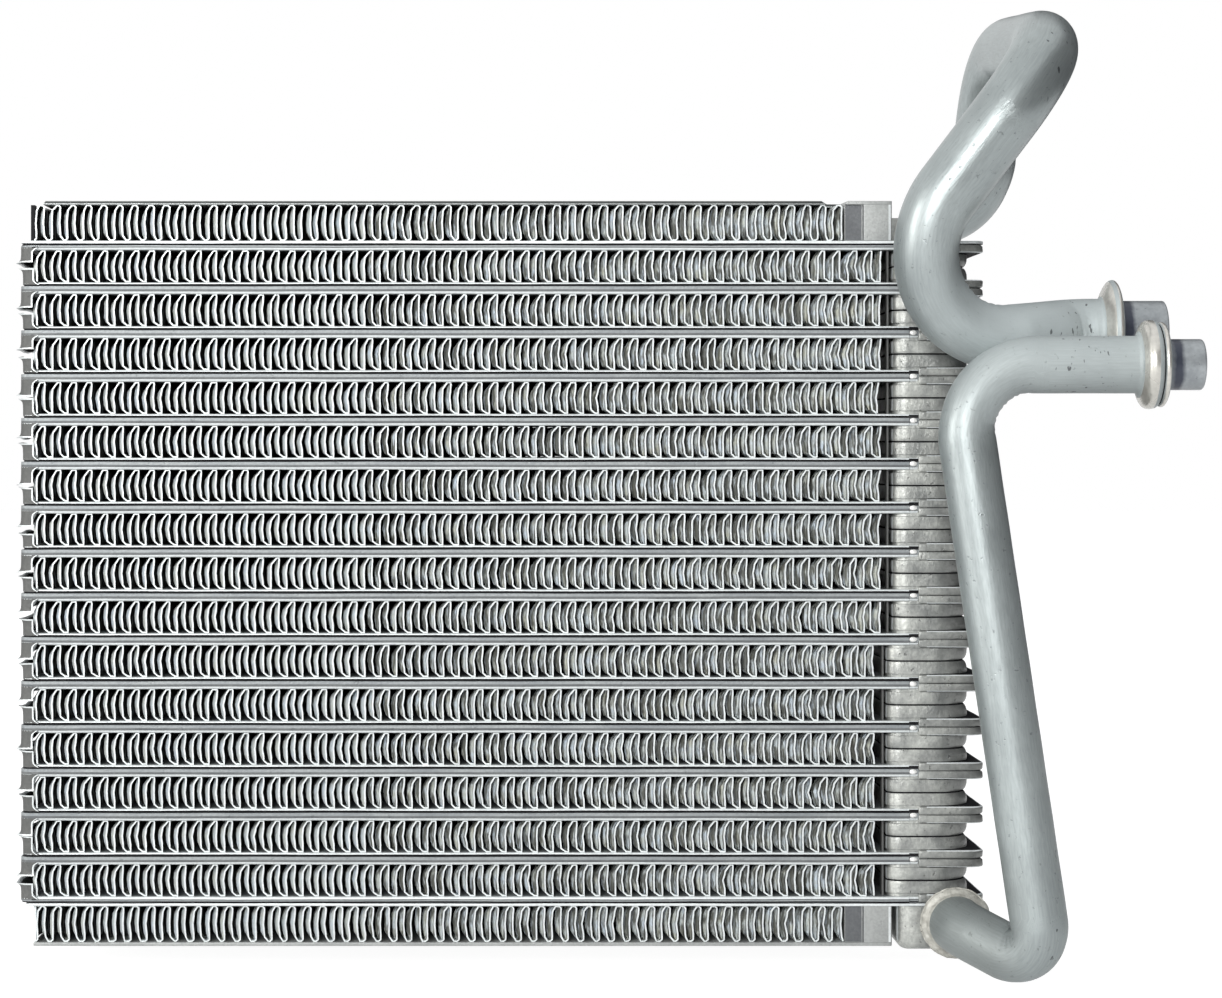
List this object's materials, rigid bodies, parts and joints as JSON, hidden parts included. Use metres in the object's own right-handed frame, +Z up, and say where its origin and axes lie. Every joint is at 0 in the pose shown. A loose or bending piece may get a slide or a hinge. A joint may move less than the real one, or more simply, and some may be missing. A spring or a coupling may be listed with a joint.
{
  "type": "evaporator core",
  "caption": "Plate-and-fin evaporator core: folded fins between flat tubes, stacked cup tanks at one end and two bent pipes with beaded ends.",
  "frame": {"origin": "on the outer face of the bottom side plate, in the middle of the fins' width and of the core's depth", "axes": "+X along the flat tubes towards the tanks and pipe ends, +Y through the core from the pipe side to the back, +Z up through the stack of tubes"},
  "size_m": [0.3318, 0.1283, 0.2768],
  "materials": {
    "fins": "bare rolled sheet, bright edges",
    "tubes": "bare brazed sheet, satin grey",
    "side_plates": "bare brazed sheet, satin grey",
    "tanks": "bare drawn and brazed sheet, slightly warm grey",
    "braze": "rough braze metal",
    "pipes": "bare drawn tube, satin with fine scratches"
  },
  "bodies": {
    "root": {"fin_01": "fins", "fin_02": "fins", "fin_03": "fins", "fin_04": "fins", "fin_05": "fins", "fin_06": "fins", "fin_07": "fins", "fin_08": "fins", "fin_09": "fins", "fin_10": "fins", "fin_11": "fins", "fin_12": "fins", "fin_13": "fins", "fin_14": "fins", "fin_15": "fins", "fin_16": "fins", "fin_17": "fins", "tube_01_lower": "tubes", "tube_02_upper": "tubes", "tube_02_lower": "tubes", "tube_03_upper": "tubes", "tube_03_lower": "tubes", "tube_04_upper": "tubes", "tube_04_lower": "tubes", "tube_05_upper": "tubes", "tube_05_lower": "tubes", "tube_06_upper": "tubes", "tube_06_lower": "tubes", "tube_07_upper": "tubes", "tube_07_lower": "tubes", "tube_08_upper": "tubes", "tube_08_lower": "tubes", "tube_09_upper": "tubes", "tube_09_lower": "tubes", "tube_10_upper": "tubes", "tube_10_lower": "tubes", "tube_11_upper": "tubes", "tube_11_lower": "tubes", "tube_12_upper": "tubes", "tube_12_lower": "tubes", "tube_13_upper": "tubes", "tube_13_lower": "tubes", "tube_14_upper": "tubes", "tube_14_lower": "tubes", "tube_15_upper": "tubes", "tube_15_lower": "tubes", "tube_16_upper": "tubes", "end_plate_top": "tubes", "end_plate_bottom": "tubes", "side_plate_top": "side_plates", "side_plate_bottom": "side_plates", "tank_inlet": "tanks", "tank_outlet": "tanks", "collar_inlet": "braze", "collar_outlet": "braze", "pipe_inlet": "pipes", "pipe_outlet": "pipes"}
  },
  "joints": []
}
